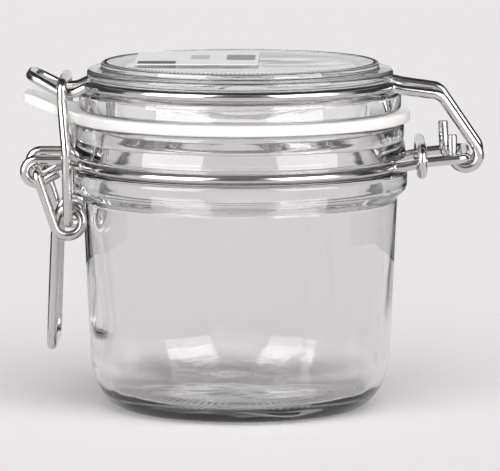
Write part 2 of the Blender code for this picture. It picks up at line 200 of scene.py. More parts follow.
def room_light():
    """World that is light near the horizon, dark overhead and darkest behind the camera."""
    world = bpy.data.worlds.new("studio")
    world.use_nodes = True
    tree = world.node_tree
    direction = add_node(tree, "ShaderNodeTexCoord").outputs["Generated"]
    parts = add_node(tree, "ShaderNodeSeparateXYZ", [("Vector", direction)])
    height = ramp(tree, parts.outputs["Z"], ROOM_STOPS)
    front = add_node(tree, "ShaderNodeMapRange", [("Value", parts.outputs["Y"])])
    front.interpolation_type = "SMOOTHSTEP"
    front.inputs["From Min"].default_value = ROOM_FRONT_FADE[0]
    front.inputs["From Max"].default_value = ROOM_FRONT_FADE[1]
    front.inputs["To Min"].default_value = ROOM_BEHIND_CAMERA
    front.inputs["To Max"].default_value = 1.0
    both = add_node(tree, "ShaderNodeVectorMath", [("Vector", height)], operation="SCALE")
    tree.links.new(front.outputs["Result"], both.inputs["Scale"])
    background = tree.nodes["Background"]
    tree.links.new(both.outputs["Vector"], background.inputs["Color"])
    background.inputs["Strength"].default_value = 1.0
    bpy.context.scene.world = world


room_light()
print("the room is lit")


# %% Soft light on the sheet
def wide_sun(name, side_degrees, up_degrees, strength, spread_degrees):
    """A sun lamp with a wide disc, for an even light with very soft shadows."""
    data = bpy.data.lights.new(name, "SUN")
    data.energy = strength
    data.angle = math.radians(spread_degrees)
    light = bpy.data.objects.new(name, data)
    side, up = math.radians(side_degrees), math.radians(up_degrees)
    towards = Vector((math.sin(side) * math.cos(up), -math.cos(side) * math.cos(up), math.sin(up)))
    light.rotation_euler = towards.to_track_quat("Z", "Y").to_euler()
    light.visible_glossy = False
    bpy.context.scene.collection.objects.link(light)


wide_sun("sheet_light", side_degrees=8.0, up_degrees=43.0, strength=3.05, spread_degrees=90.0)
print("the sheet is lit")

# %% Soft boxes
BOX_DISTANCE = 0.62
BOX_AIM = Vector((0.0, 0.0, 0.10))


def soft_box(name, side_degrees, middle_height, width, height, watts):
    """Hangs a rectangular light at an angle from the camera's side, aimed at the jar."""
    angle = math.radians(side_degrees)
    data = bpy.data.lights.new(name, "AREA")
    data.shape = "RECTANGLE"
    data.size = width
    data.size_y = height
    data.energy = watts
    light = bpy.data.objects.new(name, data)
    x, y = math.sin(angle) * BOX_DISTANCE, -math.cos(angle) * BOX_DISTANCE
    light.location = (x, y, middle_height)
    aim = BOX_AIM - light.location
    light.rotation_euler = aim.to_track_quat("-Z", "Y").to_euler()
    light.visible_camera = False
    light.visible_diffuse = False
    bpy.context.scene.collection.objects.link(light)


soft_box("left_box", -47.0, middle_height=0.37, width=0.56, height=0.68, watts=7.0)
soft_box("right_box", 49.0, middle_height=0.34, width=0.54, height=0.56, watts=5.0)
print("soft boxes: 2")

# %% [markdown]
# ## Dark cards
# A photographer of bright metal stands dark cards on both sides, just outside the picture.
# The edges of bright wire mirror these cards, and so every wire gets a thin dark outline
# against the pale sheet. A third card overhead gives the wires their dark upper side. The
# side cards are curved walls and the upper one is a square. They are hidden from the
# camera and from what is seen through the glass, and they cast no shadow.

# %% Dark cards
CARD_DISTANCE = 0.30
CARD_HEIGHT = 0.26
CARD_START = 84.0
CARD_END = 163.0
CARD_STEPS = 24
CARD_FOOT = 0.001
CARD_GREY = 0.03
UPPER_CARD_X = (-0.4, 0.4)
UPPER_CARD_Y = (-0.2, 0.6)
UPPER_CARD_Z = 0.45


def dark_card(name, places, faces):
    """A dark card that only shows in gloss."""
    finish, tree, shader = new_finish(name)
    shader.inputs["Base Color"].default_value = (CARD_GREY, CARD_GREY, CARD_GREY, 1.0)
    shader.inputs["Roughness"].default_value = 0.9
    mesh = bpy.data.meshes.new(name)
    mesh.from_pydata(places, [], faces)
    mesh.materials.append(finish)
    card = bpy.data.objects.new(name, mesh)
    card.visible_camera = False
    card.visible_diffuse = False
    card.visible_transmission = False
    card.visible_shadow = False
    bpy.context.scene.collection.objects.link(card)


def side_card(name, side):
    """A curved dark wall round one side of the jar; side is -1 for left and 1 for right."""
    places, faces = [], []
    angles = np.radians(np.linspace(CARD_START, CARD_END, CARD_STEPS + 1))
    for angle in angles:
        x, y = side * math.sin(angle) * CARD_DISTANCE, -math.cos(angle) * CARD_DISTANCE
        places += [(x, y, CARD_FOOT), (x, y, CARD_HEIGHT)]
    for step in range(CARD_STEPS):
        faces.append((step * 2, step * 2 + 2, step * 2 + 3, step * 2 + 1))
    dark_card(name, places, faces)


side_card("dark_card_left", -1)
side_card("dark_card_right", 1)
upper = [(x, y, UPPER_CARD_Z) for y in UPPER_CARD_Y for x in UPPER_CARD_X]
dark_card("dark_card_upper", upper, [(0, 1, 3, 2)])
print("dark cards: 3")

# %% [markdown]
# ## Clear glass
# Pressed soda glass is colourless in a thin wall and turns grey where the eye looks
# along it. A Principled shader with full transmission bends the light, and a Volume
# Absorption node takes a little of it for each millimetre of glass, so the edges of the
# jar come out darker than its middle, as they really do. A very weak bump in two scales
# gives the soft unevenness of a fire polished surface.

# %% Clear glass
GLASS_IOR = 1.52
GLASS_PASSES = (0.30, 0.33, 0.31)
FINE_WAVE_SHARE = 0.05


def clear_glass_finish(name, wave_height, grey, tint):
    """Clear glass with an uneven skin of colour tint; grey is the volume's density."""
    finish, tree, shader = new_finish(name)
    place = add_node(tree, "ShaderNodeTexCoord").outputs["Object"]
    slow = noise(tree, place, 55.0, 1.0)
    quick = noise(tree, place, 320.0, 2.0)
    first = add_bump(tree, slow, wave_height)
    second = add_bump(tree, quick, wave_height * FINE_WAVE_SHARE, under=first)
    smear = noise(tree, place, 24.0, 3.0)
    rough = ramp(tree, smear, [(0.45, 0.004), (0.72, 0.030)])
    tree.links.new(rough, shader.inputs["Roughness"])
    tree.links.new(second, shader.inputs["Normal"])
    shader.inputs["Base Color"].default_value = (*tint, 1.0)
    shader.inputs["Transmission Weight"].default_value = 1.0
    shader.inputs["IOR"].default_value = GLASS_IOR
    absorb = tree.nodes.new("ShaderNodeVolumeAbsorption")
    absorb.inputs["Color"].default_value = (*GLASS_PASSES, 1.0)
    absorb.inputs["Density"].default_value = grey
    tree.links.new(absorb.outputs["Volume"], tree.nodes["Material Output"].inputs["Volume"])
    return finish


JAR_TINT = (0.945, 0.934, 0.938)
LID_TINT = (1.0, 0.992, 0.994)
jar_finish = clear_glass_finish("clear jar glass", wave_height=0.00016, grey=19.0, tint=JAR_TINT)
lid_finish = clear_glass_finish("clear lid glass", wave_height=0.00012, grey=2.0, tint=LID_TINT)
print("glass finishes:", jar_finish.name, lid_finish.name)

# %% [markdown]
# ## Turned shapes
# Jar, lid and their details are all round, so they are turned: a profile of radius and
# height goes once round the axis. Blender has a Screw modifier for this. Here it is done
# in code, because a relief can then be added on the way, such as beads on a rim, and
# because both ends of the profile lie on the axis, where the mesh has to close in a point.

# %% Arcs and turned meshes
PROFILE_STEP = 2.5


def arc(centre, reach, height, start, end, steps):
    """Points (radius, z) on an ellipse between two angles, ends included."""
    angles = np.radians(np.linspace(start, end, steps + 1))
    return [(centre[0] + reach * math.cos(a), centre[1] + height * math.sin(a)) for a in angles]


def rounded(corner, inward, upward, radius, start, end, steps=6):
    """Rounds a corner; inward and upward are the signs that lead to the arc's centre."""
    centre = (corner[0] + inward * radius, corner[1] + upward * radius)
    return arc(centre, radius, radius, start, end, steps)


def softened(points, times):
    """Smooths an open line by cutting its corners again and again, keeping both ends."""
    for _ in range(times):
        cut = [points[0]]
        for before, after in zip(points, points[1:]):
            for part in (0.25, 0.75):
                cut.append(tuple(b + (a - b) * part for b, a in zip(before, after)))
        points = cut + [points[-1]]
    return list(points)


def spaced(profile):
    """Adds points along straight stretches so that none is longer than the profile step."""
    points = [profile[0]]
    for before, after in zip(profile, profile[1:]):
        length = math.dist(before, after)
        count = max(1, math.ceil(length / PROFILE_STEP))
        for step in range(1, count + 1):
            part = step / count
            points.append(tuple(b + (a - b) * part for b, a in zip(before, after)))
    return points


def smooth_mesh(name, places, faces, merge=0.0):
    """A smooth mesh that looks outwards all over, with points nearer than merge joined."""
    mesh = bpy.data.meshes.new(name)
    mesh.from_pydata(places, [], faces)
    shape = bmesh.new()
    shape.from_mesh(mesh)
    if merge:
        bmesh.ops.remove_doubles(shape, verts=shape.verts, dist=merge)
    bmesh.ops.recalc_face_normals(shape, faces=shape.faces)
    shape.to_mesh(mesh)
    shape.free()
    mesh.shade_smooth()
    return mesh


def waves(table, angles, along):
    """Sum of waves; a row has waves per turn, mm per radian along, phase and height."""
    return sum(
        height * np.sin(per_turn * angles + along / length + phase)
        for per_turn, length, phase, height in table
    )


def turned(name, profile, steps, relief, crease=35.0):
    """Turns a profile from axis to axis; relief gives the changes of radius and height."""
    angles = np.linspace(0.0, 2.0 * math.pi, steps, endpoint=False)
    rings = []
    for radius, z in profile[1:-1]:
        more_wide, more_high = relief(angles, radius, z)
        wide, high = radius + more_wide, z + more_high
        rings.append(np.column_stack((wide * np.cos(angles), wide * np.sin(angles), high)))
    ends = [(0.0, 0.0, profile[0][1]), (0.0, 0.0, profile[-1][1])]
    places = np.vstack(rings + [ends]) * MM
    first, last = len(places) - 2, len(places) - 1
    faces = []
    for ring in range(len(rings) - 1):
        low, up = ring * steps, (ring + 1) * steps
        for step in range(steps):
            beside = (step + 1) % steps
            faces.append((low + step, low + beside, up + beside, up + step))
    top = (len(rings) - 1) * steps
    for step in range(steps):
        beside = (step + 1) % steps
        faces.append((first, beside, step))
        faces.append((top + step, top + beside, last))
    mesh = smooth_mesh(name, places.tolist(), faces)
    mesh.set_sharp_from_angle(angle=math.radians(crease))
    return mesh


def show(name, data, finish, body, node):
    """Links a piece, hangs it on its body and lets it stand for its solid."""
    data.materials.append(finish)
    piece = bpy.data.objects.new(name, data)
    bpy.context.scene.collection.objects.link(piece)
    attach(piece, body)
    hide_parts(node)


print("turning helpers are ready")

# %% [markdown]
# ## Jar
# The jar's wall has an outside and an inside, and both show. Outside it runs from a flat
# foot round a deep heel up a body that widens by a few millimetres, over a bulging band,
# in to the groove that the neck wire sits in, and out again to the thick flange under the
# mouth. The inside is smoother and not quite even, because a plunger or air shapes it, so
# the relief moves the inner wall in slow waves of one or two tenths of a millimetre, with
# faint level rings in the neck. They bend what is seen through the glass. The foot has a
# shallow push-up in its middle and a ring of fine ridges where it rests, both usual on
# pressed glass.

# %% Jar sizes
FOOT_RADIUS = 33.0
FOOT_INNER_RADIUS = 28.5
PUSH_UP = 1.3
PUSH_UP_FILLET = 6.0
HEEL_REACH = 11.2
HEEL_HEIGHT = 17.0
BODY_TOP_Z = 61.2
BAND_RADIUS = 49.1
BAND_TOP_Z = 70.3
BAND_FOOT_LINE = (
    (46.1, 59.6), (46.15, 61.4), (46.6, 62.6), (48.4, 64.2), (49.05, 65.6), (49.1, 67.5),
)
GROOVE_RADIUS = 44.7
FLANGE_RADIUS = 48.7
FLANGE_BOTTOM_Z = 73.7
FLANGE_TOP_RADIUS = 48.1
FLANGE_LINE = (
    (48.7, 75.0), (48.45, 76.8), (48.1, 78.6), (47.95, 79.2), (48.15, 80.0), (48.1, 82.6),
)
RIM_Z = 84.4
EDGE_RADIUS = 0.8
BAND_EDGE_RADIUS = 1.28
GROOVE_EDGE_RADIUS = 0.48
FLANGE_EDGE_RADIUS = 0.96
RIM_EDGE_RADIUS = 1.4
MOUTH_RADIUS = 42.5
INSIDE_TAPER = 0.3
INSIDE_FLOOR_RADIUS = 35.5
INSIDE_FLOOR_Z = 5.4
INSIDE_FLOOR_CROWN = 0.5
INSIDE_FILLET_REACH = 5.0
INSIDE_FILLET_HEIGHT = 8.5


def jar_outside():
    """Outside of the jar, from the middle of the foot to the top of the rim."""
    push_up_edge = FOOT_INNER_RADIUS - PUSH_UP_FILLET
    points = [(0.0, PUSH_UP), (push_up_edge, PUSH_UP)]
    points += arc((push_up_edge, 0.0), PUSH_UP_FILLET, PUSH_UP, 90.0, 0.0, 8)[1:]
    points += arc((FOOT_RADIUS, HEEL_HEIGHT), HEEL_REACH, HEEL_HEIGHT, -90.0, 0.0, 24)
    points += softened(BAND_FOOT_LINE, 3)
    points += rounded((BAND_RADIUS, BAND_TOP_Z), -1, -1, BAND_EDGE_RADIUS, 0.0, 90.0)
    points += rounded((GROOVE_RADIUS, BAND_TOP_Z), 1, 1, GROOVE_EDGE_RADIUS, 270.0, 180.0, 4)
    points += rounded((GROOVE_RADIUS, FLANGE_BOTTOM_Z), 1, -1, GROOVE_EDGE_RADIUS, 180.0, 90.0, 4)
    points += rounded((FLANGE_RADIUS, FLANGE_BOTTOM_Z), -1, 1, FLANGE_EDGE_RADIUS, -90.0, 0.0)
    points += softened(FLANGE_LINE, 2)
    points += rounded((FLANGE_TOP_RADIUS, RIM_Z), -1, -1, RIM_EDGE_RADIUS, 0.0, 90.0)
    return points


def jar_inside():
    """Inside of the jar, from the top of the rim to the middle of its floor."""
    points = rounded((MOUTH_RADIUS, RIM_Z), 1, -1, EDGE_RADIUS, 90.0, 180.0)
    points += [(MOUTH_RADIUS - INSIDE_TAPER, BODY_TOP_Z)]
    corner = (INSIDE_FLOOR_RADIUS, INSIDE_FLOOR_Z + INSIDE_FILLET_HEIGHT)
    points += arc(corner, INSIDE_FILLET_REACH, INSIDE_FILLET_HEIGHT, 0.0, -90.0, 18)
    return points + [(0.0, INSIDE_FLOOR_Z + INSIDE_FLOOR_CROWN)]


print("jar profile has", len(jar_outside()) + len(jar_inside()), "points before spacing")

# %% Jar
JAR_STEPS = 384
FOOT_RIDGES = 96
FOOT_RIDGE_HEIGHT = 0.28
FOOT_RIDGE_TOP_Z = 0.45
WALL_WAVE = 0.09
WALL_WAVES = (
    (3.0, 17.0, 0.0, 1.0), (5.0, -11.0, 1.0, 0.6), (13.0, 7.0, 0.0, 0.35), (23.0, -9.0, 0.0, 0.2),
)
NECK_RING_WAVES = ((0.0, 1.0 / 2.1, 0.0, 0.5), (2.0, 1.0 / 1.3, 0.0, 0.4))
FLOOR_WAVE = 0.13
FLOOR_WAVES = ((2.0, 6.0, 0.0, 1.0), (5.0, -4.0, 0.0, 0.7))
FLOOR_STAR_WAVES = ((9.0, 2.5, 0.0, 0.8),)
FLOOR_STAR_LENGTH = 3.0
WAVE_FULL_RADIUS = 12.0


def jar_relief(angles, radius, z):
    """Fine ridges round the foot, and slow waves of the inner wall, floor and lower heel."""
    none = np.zeros_like(angles)
    if z < FOOT_RIDGE_TOP_Z and FOOT_INNER_RADIUS - 0.5 < radius < FOOT_RADIUS + 3.0:
        ridges = 0.5 + 0.5 * np.cos(angles * FOOT_RIDGES)
        return none, FOOT_RIDGE_HEIGHT * ridges
    if radius > MOUTH_RADIUS + 0.1 or not INSIDE_FLOOR_Z < z < RIM_Z - 1.0:
        return none, none
    if radius > INSIDE_FLOOR_RADIUS:
        in_neck = min(1.0, max(0.0, (z - BODY_TOP_Z) / 3.0))
        rings = in_neck * waves(NECK_RING_WAVES, angles, z)
        return WALL_WAVE * (waves(WALL_WAVES, angles, z) + rings), none
    star = math.sin(radius / FLOOR_STAR_LENGTH) * waves(FLOOR_STAR_WAVES, angles, radius)
    slow = waves(FLOOR_WAVES, angles, radius) + star
    return none, FLOOR_WAVE * slow * min(1.0, radius / WAVE_FULL_RADIUS)


jar_profile = spaced(jar_outside()) + spaced(jar_inside())
jar_mesh = turned("jar_pressed", jar_profile, JAR_STEPS, jar_relief)
show("jar_pressed", jar_mesh, jar_finish, "jar", "jar_glass")
print("jar has", len(jar_mesh.polygons), "faces")

# %% [markdown]
# ## Lid
# The lid is pressed glass too: a flat top with a fine row of beads along its rim, a lower
# ledge, a groove that takes the lid wire, a flange that presses on the rubber, and a plug
# underneath that centres it in the mouth. The beads are a relief on the turned shape: the
# height rises and falls round the rim, and a smooth window keeps it to a narrow ring.

# %% Lid sizes
LID_BOTTOM_Z = 88.0
LID_PLATEAU_Z = 101.65
LID_PLATEAU_EDGE = 0.45
LID_PLATEAU_FILLET = 0.7
LID_FLANGE_RADIUS = 47.2
LID_FLANGE_TOP_Z = 93.3
LID_SHOULDER_RADIUS = 44.9
LID_SHOULDER_TOP_Z = 99.8
LID_PLATEAU_RADIUS = 40.8
LID_GROOVE_RADIUS = 43.8
LID_GROOVE_BOTTOM_Z = 93.8
LID_GROOVE_TOP_Z = 97.4
LID_GROOVE_LIP = 0.35
LID_GROOVE_FILLET = 0.5
LID_EDGE_RADIUS = 1.1
LID_PLUG_RADIUS = 40.2
LID_PLUG_WIDTH = 1.3
LID_PLUG_BOTTOM_Z = 84.1
LID_PLUG_EDGE = 0.5
LID_HOLLOW_RADIUS = 32.5
LID_HOLLOW_HEIGHT = 3.6
LID_HOLLOW_TOP_Z = 96.5
LID_HOLLOW_CROWN = 0.3
BEADS = 190
BEAD_RING_RADIUS = 39.4
BEAD_RING_WIDTH = 0.7
BEAD_HEIGHT = 0.32
HOLLOW_WAVE = 0.06
HOLLOW_WAVES = ((3.0, 5.0, 0.0, 1.0), (7.0, -4.0, 0.0, 0.5))


def lid_outline():
    """Profile of the lid, from the middle of its top to the middle of its hollow."""
    points = [(0.0, LID_PLATEAU_Z), (BEAD_RING_RADIUS - 2.2, LID_PLATEAU_Z)]
    ring = np.linspace(BEAD_RING_RADIUS - 1.2, BEAD_RING_RADIUS + 0.2, 11)
    points += [(radius, LID_PLATEAU_Z) for radius in ring]
    plateau_edge, plateau_foot = LID_PLATEAU_EDGE, LID_PLATEAU_FILLET
    points += rounded((LID_PLATEAU_RADIUS, LID_PLATEAU_Z), -1, -1, plateau_edge, 90.0, 0.0)
    points += rounded((LID_PLATEAU_RADIUS, LID_SHOULDER_TOP_Z), 1, 1, plateau_foot, 180.0, 270.0)
    points += rounded((LID_SHOULDER_RADIUS, LID_SHOULDER_TOP_Z), -1, -1, LID_EDGE_RADIUS, 90.0, 0.0)
    points += rounded((LID_SHOULDER_RADIUS, LID_GROOVE_TOP_Z), -1, 1, LID_GROOVE_LIP, 0.0, -90.0, 4)
    groove_top = (LID_GROOVE_RADIUS, LID_GROOVE_TOP_Z)
    groove_bottom = (LID_GROOVE_RADIUS, LID_GROOVE_BOTTOM_Z)
    points += rounded(groove_top, 1, -1, LID_GROOVE_FILLET, 90.0, 180.0, 4)
    points += rounded(groove_bottom, 1, 1, LID_GROOVE_FILLET, 180.0, 270.0, 4)
    points += rounded((LID_FLANGE_RADIUS, LID_FLANGE_TOP_Z), -1, -1, LID_EDGE_RADIUS, 90.0, 0.0)
    points += rounded((LID_FLANGE_RADIUS, LID_BOTTOM_Z), -1, 1, EDGE_RADIUS, 0.0, -90.0)
    points += [(LID_PLUG_RADIUS + LID_PLUG_WIDTH, LID_BOTTOM_Z)]
    points += rounded((LID_PLUG_RADIUS, LID_PLUG_BOTTOM_Z), -1, 1, LID_PLUG_EDGE, 0.0, -90.0, 4)
    points += [(LID_PLUG_RADIUS - LID_PLUG_WIDTH, LID_PLUG_BOTTOM_Z)]
    reach = LID_PLUG_RADIUS - LID_PLUG_WIDTH * 2.0 - LID_HOLLOW_RADIUS
    start = (LID_HOLLOW_RADIUS, LID_HOLLOW_TOP_Z - LID_HOLLOW_HEIGHT)
    points += arc(start, reach, LID_HOLLOW_HEIGHT, 0.0, 90.0, 14)
    return points + [(0.0, LID_HOLLOW_TOP_Z + LID_HOLLOW_CROWN)]


def lid_relief(angles, radius, z):
    """Beads along the rim of the top and slow waves in the hollow."""
    none = np.zeros_like(angles)
    off_middle = abs(radius - BEAD_RING_RADIUS) / BEAD_RING_WIDTH
    if z > LID_SHOULDER_TOP_Z and off_middle < 1.0:
        window = 0.5 + 0.5 * math.cos(math.pi * off_middle)
        return none, BEAD_HEIGHT * window * (0.5 + 0.5 * np.cos(angles * BEADS))
    if z < LID_SHOULDER_TOP_Z and radius < LID_HOLLOW_RADIUS + 1.0:
        slow = waves(HOLLOW_WAVES, angles, radius)
        return none, HOLLOW_WAVE * slow * min(1.0, radius / WAVE_FULL_RADIUS)
    return none, none


lid_mesh = turned("lid_pressed", spaced(lid_outline()), BEADS * 4, lid_relief)
show("lid_pressed", lid_mesh, lid_finish, "lid", "lid_glass")
print("lid has", len(lid_mesh.polygons), "faces and", BEADS, "beads")

# %% [markdown]
# ## White rubber
# The seal is a ring stamped or moulded in white rubber. Rubber like this is matt and
# slightly translucent: light enters it and comes out a little further on, which is why it
# looks brighter than paint. Subsurface scattering gives that glow. A fine noise breaks up
# the gloss, and a faint dust darkens some places.

# %% White rubber
RUBBER_CLEAN = (0.955, 0.95, 0.935)
RUBBER_DUSTY = (0.91, 0.90, 0.88)


def white_rubber_finish():
    """Soft white rubber with a fine matt skin."""
    finish, tree, shader = new_finish("white seal rubber")
    place = add_node(tree, "ShaderNodeTexCoord").outputs["Object"]
    dust = noise(tree, place, 90.0, 4.0)
    colour = ramp(tree, dust, [(0.35, RUBBER_CLEAN), (0.75, RUBBER_DUSTY)])
    skin = noise(tree, place, 2600.0, 2.0)
    gloss = ramp(tree, skin, [(0.3, 0.42), (0.7, 0.58)])
    tree.links.new(colour, shader.inputs["Base Color"])
    tree.links.new(gloss, shader.inputs["Roughness"])
    tree.links.new(add_bump(tree, skin, 0.00002, 0.5), shader.inputs["Normal"])
    shader.inputs["Specular IOR Level"].default_value = 0.35
    shader.inputs["Subsurface Weight"].default_value = 0.35
    shader.inputs["Subsurface Scale"].default_value = 0.0015
    shader.inputs["Subsurface Radius"].default_value = (1.0, 0.9, 0.8)
    return finish


rubber_finish = white_rubber_finish()
print("rubber finish:", rubber_finish.name)

# %% [markdown]
# ## Rubber ring
# The ring is flat and lies between jar and lid. On the clasp's side its outer edge runs
# out into a tab, which bends upwards and is pulled to let air in. The outline is drawn in
# polar steps: the plain part of the ring is a true circle, and the flare into the tab is a
# few points made smooth by cutting their corners. Round every outline point stands the
# same rounded cross-section, and the tab only stretches and lifts its outer half.

# %% Rubber ring
RING_INNER_RADIUS = 42.9
RING_OUTER_RADIUS = 49.8
RING_BOTTOM_Z = 84.7
RING_TOP_Z = 87.7
TAB_TIP_X = 63.2
TAB_TIP_HALF_WIDTH = 9.0
TAB_CORNER = 2.0
TAB_CORNER_CUT = 0.6
TAB_HINGE_DEPTH = 1.0
TAB_HINGE_STOPS = (0.0, 0.25, 0.5, 0.75)
TAB_RISE = 5.1
TAB_THINNING = 0.4
TAB_FLARE = ((6.5, 0.9), (10.0, 2.3), (12.6, 4.1), (14.6, 6.6))
TAB_END_ANGLE = 4.0
RING_EDGE = 0.55
RING_STEPS = 240


def tab_side():
    """Half of the tab's outline as points (x, y), from the middle of its tip to the ring."""
    corners = [(TAB_TIP_X, 0.0), (TAB_TIP_X, TAB_TIP_HALF_WIDTH - TAB_CORNER)]
    corners += [(TAB_TIP_X - TAB_CORNER_CUT, TAB_TIP_HALF_WIDTH - TAB_CORNER_CUT)]
    corners += [(TAB_TIP_X - TAB_CORNER, TAB_TIP_HALF_WIDTH)]
    corners += [(TAB_TIP_X - back, TAB_TIP_HALF_WIDTH + aside) for back, aside in TAB_FLARE]
    end = math.atan2(corners[-1][1], corners[-1][0]) + math.radians(TAB_END_ANGLE)
    corners += [
        (RING_OUTER_RADIUS * math.cos(end + more), RING_OUTER_RADIUS * math.sin(end + more))
        for more in (0.0, 0.05)
    ]
    return softened(corners, 3)


def ring_edge_line():
    """The whole outer edge as (angle, radius), once round from the tip of the tab."""
    side = [(math.atan2(y, x), math.hypot(x, y)) for x, y in tab_side()]
    last = side[-1][0]
    plain = np.linspace(last, 2.0 * math.pi - last, RING_STEPS)[1:-1]
    back = [(2.0 * math.pi - angle, radius) for angle, radius in reversed(side[1:])]
    return side + [(angle, RING_OUTER_RADIUS) for angle in plain] + back


def tab_face(outer, plain_z, outer_z):
    """Upper or lower face from the plain ring to the outer edge, lifted in a soft S."""
    hinge = RING_OUTER_RADIUS - TAB_HINGE_DEPTH
    points = []
    for part in TAB_HINGE_STOPS:
        lift = part * part * (3.0 - 2.0 * part)
        radius = hinge + (outer - RING_EDGE - hinge) * part
        points.append((radius, plain_z + (outer_z - plain_z) * lift))
    return points


def ring_section(outer):
    """Rounded cross-section (radius, z) of the ring where its outer edge is at outer."""
    reach = (outer - RING_OUTER_RADIUS) / (TAB_TIP_X - RING_OUTER_RADIUS)
    rise = TAB_RISE * reach
    low = RING_BOTTOM_Z + rise + TAB_THINNING * max(reach, 0.0)
    high = RING_TOP_Z + rise
    section = rounded((RING_INNER_RADIUS, RING_BOTTOM_Z), 1, 1, RING_EDGE, 180.0, 270.0, 4)
    section += tab_face(outer, RING_BOTTOM_Z, low)
    section += rounded((outer, low), -1, 1, RING_EDGE, -90.0, 0.0, 4)
    section += rounded((outer, high), -1, -1, RING_EDGE, 0.0, 90.0, 4)
    section += reversed(tab_face(outer, RING_TOP_Z, high))
    return section + rounded((RING_INNER_RADIUS, RING_TOP_Z), 1, -1, RING_EDGE, 90.0, 180.0, 4)


def rubber_ring_mesh():
    """Sets a cross-section at every point of the outer edge and joins them all round."""
    edge = ring_edge_line()
    places = []
    for angle, outer in edge:
        turn = math.pi - angle
        for radius, z in ring_section(outer):
            places.append((radius * math.cos(turn) * MM, radius * math.sin(turn) * MM, z * MM))
    count = len(places) // len(edge)
    faces = []
    for station in range(len(edge)):
        here, there = station * count, (station + 1) % len(edge) * count
        for corner in range(count):
            beside = (corner + 1) % count
            faces.append((here + corner, here + beside, there + beside, there + corner))
    return smooth_mesh("seal_ring", places, faces, merge=0.01 * MM)


ring_mesh = rubber_ring_mesh()
show("seal_ring", ring_mesh, rubber_finish, "jar", "gasket")
print("rubber ring has", len(ring_mesh.polygons), "faces")

# %% [markdown]
# ## Bright wire
# The clasp and hinge are bent from one gauge of bright drawn steel wire. Such wire is a
# mirror with flaws: the die leaves hair-fine lines along it, handling leaves a little
# haze, and the zinc or nickel skin is not perfectly even. A metallic Principled shader
# with low roughness does the mirror, a stretched noise along the wire does the die lines,
# and a slow noise changes the roughness.

# %% Bright wire
DIE_LINE_STRETCH = (3.0, 60.0, 1.0)
WIRE_BRIGHT = (0.66, 0.65, 0.64)
WIRE_HAZY = (0.54, 0.53, 0.52)


def bright_wire_finish():
    """Drawn steel wire: a slightly warm mirror with die lines and haze."""
    finish, tree, shader = new_finish("bright drawn wire")
    place = add_node(tree, "ShaderNodeTexCoord")
    along = add_node(tree, "ShaderNodeMapping", [("Vector", place.outputs["UV"])])
    along.inputs["Scale"].default_value = DIE_LINE_STRETCH
    lines = noise(tree, along.outputs["Vector"], 1.0, 3.0)
    haze = noise(tree, place.outputs["Object"], 160.0, 4.0)
    colour = ramp(tree, haze, [(0.30, WIRE_BRIGHT), (0.75, WIRE_HAZY)])
    rough = ramp(tree, haze, [(0.35, 0.10), (0.75, 0.24)])
    pits = noise(tree, place.outputs["Object"], 1400.0, 2.0)
    first = add_bump(tree, lines, 0.00001, 0.35)
    second = add_bump(tree, pits, 0.000012, 0.35, under=first)
    tree.links.new(colour, shader.inputs["Base Color"])
    tree.links.new(rough, shader.inputs["Roughness"])
    tree.links.new(second, shader.inputs["Normal"])
    shader.inputs["Metallic"].default_value = 1.0
    return finish


wire_finish = bright_wire_finish()
print("wire finish:", wire_finish.name)

# %% [markdown]
# ## Bending wire
# A bent wire is a line with a constant round section, so a curve with a bevel depth is
# the right tool: the line is all that has to be worked out. A bender works with straight
# lengths and bends, and so do these helpers. A corner has a place and a bend radius, and
# the fillet puts an arc there. Arcs round an upright circle make eyes, hooks and coils,
# and arcs round the jar's axis make the parts that lie in the grooves.

# %% Bending wire
WIRE_RADIUS = 1.45
WIRE_END = ((0.45, 1.0), (0.12, 0.90), (0.0, 0.72))
SHARP_BEND = 2.4
FIRM_BEND = WIRE_RADIUS * 3.0
EASY_BEND = WIRE_RADIUS * 4.0
WIDE_BEND = WIRE_RADIUS * 7.0
BEND_STEP = 9.0
EYE_STEP = 9.0
GROOVE_STEP = 2.5


def fillet(before, corner, after, radius):
    """Points that round a corner of a wire with a bend of the given radius."""
    incoming = (corner - before).normalized()
    outgoing = (after - corner).normalized()
    turn = incoming.angle(outgoing)
    if radius == 0.0 or turn < math.radians(1.0):
        return [corner]
    reach = radius * math.tan(turn / 2.0)
    centre = corner + (outgoing - incoming).normalized() * (radius / math.cos(turn / 2.0))
    start = corner - incoming * reach - centre
    axis = incoming.cross(outgoing).normalized()
    steps = max(2, math.ceil(math.degrees(turn) / BEND_STEP))
    parts = [turn * step / steps for step in range(steps + 1)]
    return [centre + start * math.cos(part) + axis.cross(start) * math.sin(part) for part in parts]


def bent(corners):
    """Turns corners (x, y, z, bend radius) into the points of a bent wire."""
    places = [Vector(corner[:3]) for corner in corners]
    points = [places[0]]
    for number in range(1, len(corners) - 1):
        points += fillet(places[number - 1], places[number], places[number + 1], corners[number][3])
    return points + [places[-1]]


def eye(centre, radii, angles, ys):
    """Corners on an arc round an axis along Y, whose radius, angle and y change evenly."""
    count = math.ceil(abs(angles[1] - angles[0]) / EYE_STEP)
    corners = []
    for number in range(count + 1):
        part = number / count
        angle = math.radians(angles[0] + (angles[1] - angles[0]) * part)
        radius = radii[0] + (radii[1] - radii[0]) * part
        across, up = radius * math.cos(angle), radius * math.sin(angle)
        corners.append((centre[0] + across, ys[0] + (ys[1] - ys[0]) * part, centre[1] + up, 0.0))
    return corners


def in_groove(radius, z, start, end):
    """Corners on a level ring round the jar's axis, without the two ends."""
    count = round(abs(end - start) / GROOVE_STEP)
    angles = np.radians(np.linspace(start, end, count + 1))[1:-1]
    return [(radius * math.cos(a), radius * math.sin(a), z, 0.0) for a in angles]


def off_ring(radius, y, angle, side):
    """Angle and x at which an arm at distance y leaves a ring, near angle on one side."""
    angle = angle + side * math.degrees(math.asin(y / radius))
    return angle, radius * math.cos(math.radians(angle))


